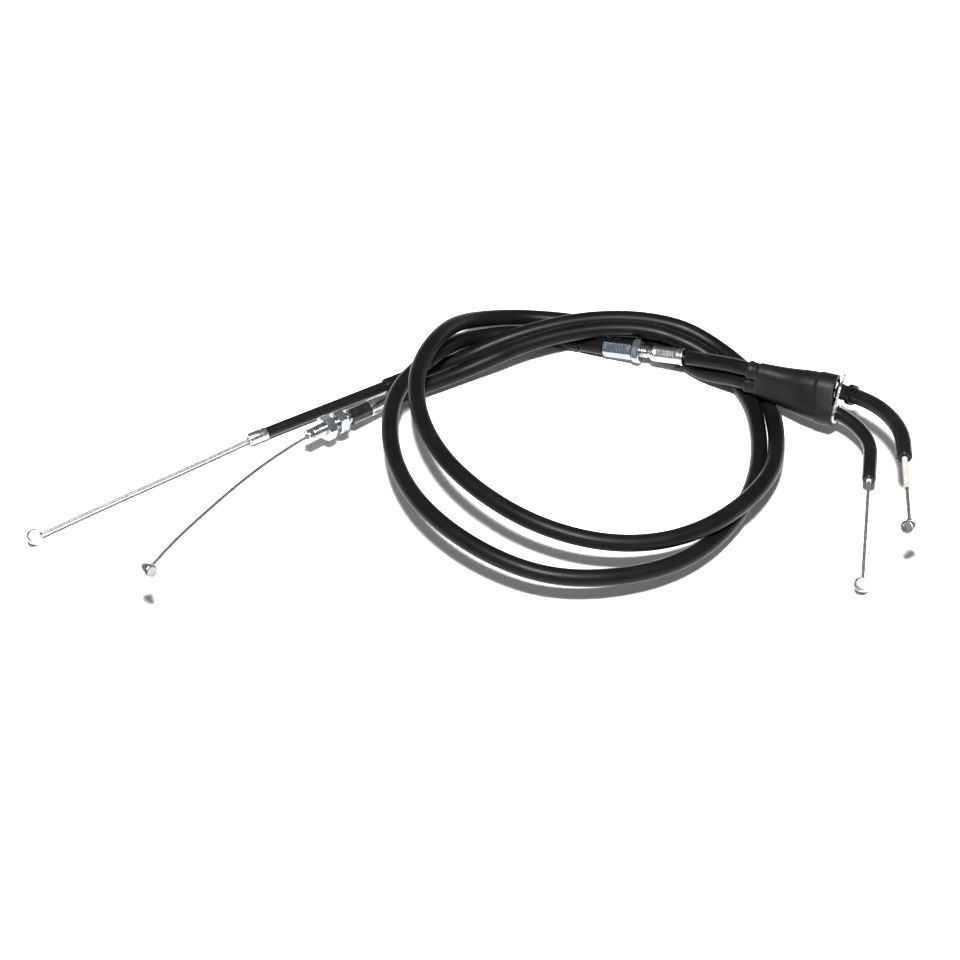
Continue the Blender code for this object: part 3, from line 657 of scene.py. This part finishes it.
def in_line_adjuster():
    start, length = on_axis("adjuster_sleeve", ADJUSTER_AXIS)
    outline = [
        (0, 3.52), (0.3, 3.62), (3.5, 3.68), (3.8, 3.78), (length - 1.2, 3.92),
        (length - 0.9, 3.98), (length - 0.2, 3.98), (length, 3.8),
    ]
    sleeve = turned("adjuster_sleeve_skin", outline, VINYL, ROOT, sides=48, bore=FITTING_BORE)
    placed(sleeve, start, ADJUSTER_AXIS)
    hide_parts("adjuster_sleeve")
    nut("adjuster_barrel", ADJUSTER_AXIS, BARREL_FLATS, BARREL, "barrel", BARREL_BORE, 20)
    nut("adjuster_lock_nut", ADJUSTER_AXIS, NUT_FLATS, ZINC, "lock_nut", LOCK_NUT_BORE, 33)
    start, length = on_axis("adjuster_screw", ADJUSTER_AXIS)
    major, core = 2.75, 2.3
    outline = [
        (0, core), (0.4, major), (18.1, major), (18.4, core), (length, core),
    ]
    screw = turned(
        "screw_thread", outline, ZINC, ROOT, sides=60, fine=0.16, bore=FITTING_BORE,
        shape=thread(0.8, 0.36, 0.6, 18.0), sharp=50,
    )
    placed(screw, start, ADJUSTER_AXIS)
    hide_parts("adjuster_screw")
    start, length = on_axis("adjuster_ferrule", ADJUSTER_AXIS)
    outline = [
        (0, 3.0), (1.1, 3.7), (length - 3.0, 3.7), (length - 1.6, 3.6), (length - 1.2, 3.6),
        (length - 1.0, 4.0), (length - 0.2, 4.0), (length, 3.85),
    ]
    ferrule = turned(
        "screw_ferrule", outline, ZINC, ROOT, sides=72, fine=0.3, bore=FITTING_BORE,
        shape=crimped(6, 0.32, 1.8, length - 3.2), sharp=40,
    )
    placed(ferrule, start, ADJUSTER_AXIS, 12)
    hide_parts("adjuster_ferrule")


# ---------------------------------------------------------------- grip end

def grip_pipe(side, bend, axis, radius):
    """A bent pipe with its liner."""
    start, length = on_axis(side + "_liner", axis)
    mouth = np.array(bend[-1], float)
    low = np.array(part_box(side + "_elbow_pipe")[0]) / MM
    straight = (mouth[1] - low[1]) / abs(axis[1]) - radius * 0.12
    end = mouth + axis * straight
    line = np.vstack([smooth(bend, 0.8)[:-1], spaced(np.array([mouth, end]), 0.8)])
    run = np.concatenate([[0], np.cumsum(np.linalg.norm(np.diff(line, axis=0), axis=1))])
    radii = radius * (1 - 0.14 * np.clip(1 - (run[-1] - run) / 0.8, 0, 1) ** 2)
    pipe = swept(side + "_pipe_skin", line, radii, PAINT, ROOT, sides=40)
    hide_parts(side + "_elbow_pipe")
    tip = mouth + axis * float(np.dot((start + axis * length) - mouth, axis))
    inside = end - axis * 4.0
    liner_line = spaced(np.array([inside, tip]), 0.8)
    radii = rounded_end(liner_line, LINER_RADIUS, 0.9)
    liner = swept(side + "_liner_tip", liner_line, radii, LINER, ROOT, 28)
    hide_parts(side + "_liner")


def boot_outline(values, extra, count=26):
    """The outline of the boot at one section, as count points round each channel's end."""
    first, second, radius = values[:3], values[3:6], values[6] + extra
    forward = values[7:10]
    across = first - second
    across = unit(across - across.dot(forward) * forward)
    aside = np.cross(forward, across)
    points = []
    for centre, start in ((first, -90), (second, 90)):
        for i in range(count):
            angle = radians(start + 180 * i / (count - 1))
            points.append(centre + radius * (cos(angle) * across + sin(angle) * aside))
    return points


def boot_stations(parts):
    """The boot's sections, drawn smoothly through the CAD's, with their forward direction."""
    knots = np.array([[*a, *b, r] for a, b, r in BOOT_SECTIONS], float)
    knots = np.vstack([2 * knots[0] - knots[1], knots, 2 * knots[-1] - knots[-2]])
    t = np.linspace(0, 1, parts, endpoint=False)[:, None]
    weights = ((1 - t) ** 3, 3 * t**3 - 6 * t**2 + 4, -3 * t**3 + 3 * t**2 + 3 * t + 1, t**3)
    spans = zip(knots, knots[1:], knots[2:], knots[3:])
    dense = np.vstack([sum(w * k for w, k in zip(weights, span)) / 6 for span in spans])
    dense = np.vstack([dense, knots[-2]])
    forward = np.gradient(dense[:, :3] + dense[:, 3:6], axis=0)
    forward /= np.linalg.norm(forward, axis=1)[:, None]
    return np.hstack([dense, forward])


def solid(name, rings):
    """A plain closed mesh object through rings, for the booleans."""
    mesh = grid_mesh(name, np.array(rings))
    shape = bmesh.new()
    shape.from_mesh(mesh)
    bmesh.ops.recalc_face_normals(shape, faces=shape.faces)
    shape.to_mesh(mesh)
    shape.free()
    obj = bpy.data.objects.new(name, mesh)
    bpy.context.scene.collection.objects.link(obj)
    return obj


def round_solid(name, line, radius, sides=32):
    side, up = frames_along(line)
    turn = np.linspace(0, TAU, sides, endpoint=False)
    radius = np.broadcast_to(np.asarray(radius, float), (len(line),))[:, None]
    ring = (
        side[:, None, :] * (radius * np.cos(turn))[:, :, None]
        + up[:, None, :] * (radius * np.sin(turn))[:, :, None]
    )
    return solid(name, line[:, None, :] + ring)


def combined(target, steps):
    """The mesh of target after boolean steps with other objects, which are then removed."""
    for operation, other in steps:
        step = target.modifiers.new(other.name, "BOOLEAN")
        step.operation = operation
        step.object = other
    graph = bpy.context.evaluated_depsgraph_get()
    mesh = bpy.data.meshes.new_from_object(target.evaluated_get(graph))
    for obj in [target, *(other for _, other in steps)]:
        bpy.data.objects.remove(obj, do_unlink=True)
    return mesh


def remeshed(mesh, voxel, smoothing):
    """The same solid with its edges rounded off, as moulded rubber is."""
    obj = bpy.data.objects.new("to_remesh", mesh)
    bpy.context.scene.collection.objects.link(obj)
    step = obj.modifiers.new("voxels", "REMESH")
    step.mode = "VOXEL"
    step.voxel_size = voxel * MM
    ease = obj.modifiers.new("ease", "SMOOTH")
    ease.factor = 0.5
    ease.iterations = smoothing
    graph = bpy.context.evaluated_depsgraph_get()
    made = bpy.data.meshes.new_from_object(obj.evaluated_get(graph))
    bpy.data.objects.remove(obj, do_unlink=True)
    return made


def boot():
    stations = boot_stations(8)
    rim_from = len(stations) - 10
    outer = [boot_outline(v, 0.0 if i < rim_from else BOOT_RIM) for i, v in enumerate(stations)]
    body = solid("boot_body", outer)
    depth = 22
    inner = [boot_outline(v, -BOOT_WALL) for v in stations[-depth:]]
    inner.append([p + stations[-1][7:10] * 3.0 for p in inner[-1]])
    steps = []
    collars = (
        ("pull", PULL_UPPER_ROUTE, UPPER_COVER_RADIUS), ("return", RETURN_ROUTE, COVER_RADIUS),
    )
    for label, route, radius in collars:
        line = smooth(route[-6:], 0.7)
        start = BOOT_SECTIONS[0][0][0] - COLLAR_LENGTH
        grip = line[(line[:, 0] > start) & (line[:, 0] < start + COLLAR_REACH)]
        run = np.linspace(0, 1, len(grip))
        lip = radius + COLLAR_THICK + 0.35 * np.exp(-(((run - 0.12) / 0.1) ** 2))
        steps.append(("UNION", round_solid(label + "_collar", grip, lip)))
    steps.append(("DIFFERENCE", solid("boot_cavity", inner)))
    for label, route, radius in collars:
        line = smooth(route[-8:], 1.5)
        steps.append(("DIFFERENCE", round_solid(label + "_bore", line, radius + 0.08)))
    mesh = remeshed(combined(body, steps), 0.32, 4)
    piece = finished("boot_skin", mesh, RUBBER, ROOT, 60)
    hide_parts("boot")


def retaining_plate():
    """The plate at the mouth, with its holes and its tab, its edges broken."""
    stations = boot_stations(8)
    forward = stations[-1][7:10]
    reach = [float(np.dot(v.co, forward)) / MM for v in frame["nodes"]["retaining_plate"].data.vertices]
    near, far = min(reach), max(reach)
    ends = []
    for bend in (PULL_BEND, RETURN_BEND):
        point = np.array(bend[0], float)
        ends.append(point + forward * (near - point.dot(forward)))
    values = np.concatenate([ends[0], ends[1], [PLATE_RADIUS], forward])
    outline = np.array(boot_outline(values, 0.0, 24))
    plate = solid("plate", [outline, outline + forward * (far - near)])
    across = unit(ends[0] - ends[1])
    aside = np.cross(forward, across)
    base = ends[0] + across * 3.7
    tab = []
    for up, wide in ((0, 1.7), (3.2, 1.7), (3.8, 1.3), (4.0, 0.7)):
        tab.append([base + across * up + aside * s * wide + forward * f
                    for s, f in ((-1, 0), (1, 0), (1, far - near), (-1, far - near))])
    steps = [("UNION", solid("tab", tab))]
    for label, bend in (("pull", PULL_BEND), ("return", RETURN_BEND)):
        start, then = (np.array(p, float) for p in bend[:2])
        line = np.array([start - unit(then - start) * 6, start + unit(then - start) * 6])
        steps.append(("DIFFERENCE", round_solid(label + "_hole", line, PLATE_HOLE)))
    mesh = combined(plate, steps)
    piece = finished("plate_and_tab", mesh, ZINC, ROOT, 30)
    edges = piece.modifiers.new("edges", "BEVEL")
    edges.width = 0.2 * MM
    edges.segments = 2
    edges.limit_method = "ANGLE"
    edges.angle_limit = radians(40)
    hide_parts("retaining_plate")


def elbow_collar():
    direction = unit(np.array(PULL_BEND[2], float) - np.array(PULL_BEND[1], float))
    start, length = on_axis("pull_elbow_collar", direction)
    outline = [
        (0, 3.4), (0.05, 4.5), (0.25, 4.7), (0.75, 4.7), (0.9, 4.2), (1.6, 4.2), (1.75, 4.7),
        (length - 0.2, 4.7), (length, 4.5), (length + 0.05, 3.4),
    ]
    collar = turned("pipe_collar_rings", outline, PAINT, ROOT, sides=48)
    placed(collar, start, direction)
    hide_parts("pull_elbow_collar")


# ---------------------------------------------------------------- assembly

conduit("return_conduit_cover", RETURN_ROUTE, COVER_RADIUS)
conduit("pull_conduit_cover", PULL_ROUTE, COVER_RADIUS)
conduit("pull_upper_cover", PULL_UPPER_ROUTE, UPPER_COVER_RADIUS)
pull_tip = pull_carb_end()
return_tip = return_carb_end()
in_line_adjuster()
grip_pipe("pull", PULL_BEND, PULL_GRIP_AXIS, PULL_PIPE_RADIUS)
grip_pipe("return", RETURN_BEND, RETURN_GRIP_AXIS, RETURN_PIPE_RADIUS)
elbow_collar()
boot()
retaining_plate()
carb_wire("pull", pull_tip, PULL_AXIS, PULL_WIRE_BEND, "pull_carb_end")
carb_wire("return", return_tip, RETURN_AXIS, RETURN_WIRE_BEND, "return_carb_end")
grip_wire("pull", PULL_GRIP_AXIS, "pull_grip_end")
grip_wire("return", RETURN_GRIP_AXIS, "return_grip_end")

# CAD nodes that stay as they are, inside the others
INNER_LOOKS = {
    "return_conduit_casing": CASING, "pull_conduit_casing": CASING, "pull_upper_casing": CASING,
    "pull_inner_wire": WIRE, "return_inner_wire": WIRE, "pull_grip_crimp": ZINC,
    "return_grip_crimp": ZINC,
}
for node, look in INNER_LOOKS.items():
    obj = frame["nodes"][node]
    obj.data.materials.clear()
    obj.data.materials.append(look.material)


# ---------------------------------------------------------------- stage, light and camera

def floor():
    mesh = bpy.data.meshes.new("floor")
    shape = bmesh.new()
    bmesh.ops.create_grid(shape, x_segments=1, y_segments=1, size=4.0)
    shape.to_mesh(mesh)
    shape.free()
    obj = bpy.data.objects.new("floor", mesh)
    bpy.context.scene.collection.objects.link(obj)
    paper = bpy.data.materials.new("floor_paper")
    paper.use_nodes = True
    shader = paper.node_tree.nodes["Principled BSDF"]
    shader.inputs["Base Color"].default_value = (0.86, 0.86, 0.855, 1)
    shader.inputs["Roughness"].default_value = 0.9
    mesh.materials.append(paper)


def area_light(name, direction, distance, size, power):
    """A square softbox that faces the coil from a direction."""
    data = bpy.data.lights.new(name, "AREA")
    data.shape = "SQUARE"
    data.size = size
    data.energy = power
    obj = bpy.data.objects.new(name, data)
    bpy.context.scene.collection.objects.link(obj)
    away = Vector(direction).normalized()
    obj.location = Vector(CAMERA_TARGET) + away * distance
    obj.rotation_mode = "QUATERNION"
    obj.rotation_quaternion = away.to_track_quat("Z", "Y")


def camera():
    data = bpy.data.cameras.new("camera")
    data.lens = CAMERA_LENS
    obj = bpy.data.objects.new("camera", data)
    bpy.context.scene.collection.objects.link(obj)
    tilt = radians(CAMERA_ELEVATION)
    away = Vector((0, -cos(tilt), sin(tilt)))
    obj.location = Vector(CAMERA_TARGET) + away * CAMERA_DISTANCE
    obj.rotation_euler = (pi / 2 - tilt, 0, 0)
    bpy.context.scene.camera = obj


floor()
area_light("key", KEY_DIRECTION, KEY_DISTANCE, KEY_SIZE, KEY_POWER)
world = bpy.data.worlds.new("studio")
world.use_nodes = True
world.node_tree.nodes["Background"].inputs["Color"].default_value = (1, 1, 1, 1)
world.node_tree.nodes["Background"].inputs["Strength"].default_value = WORLD_STRENGTH
bpy.context.scene.world = world
bpy.context.scene.view_settings.view_transform = "Standard"
camera()
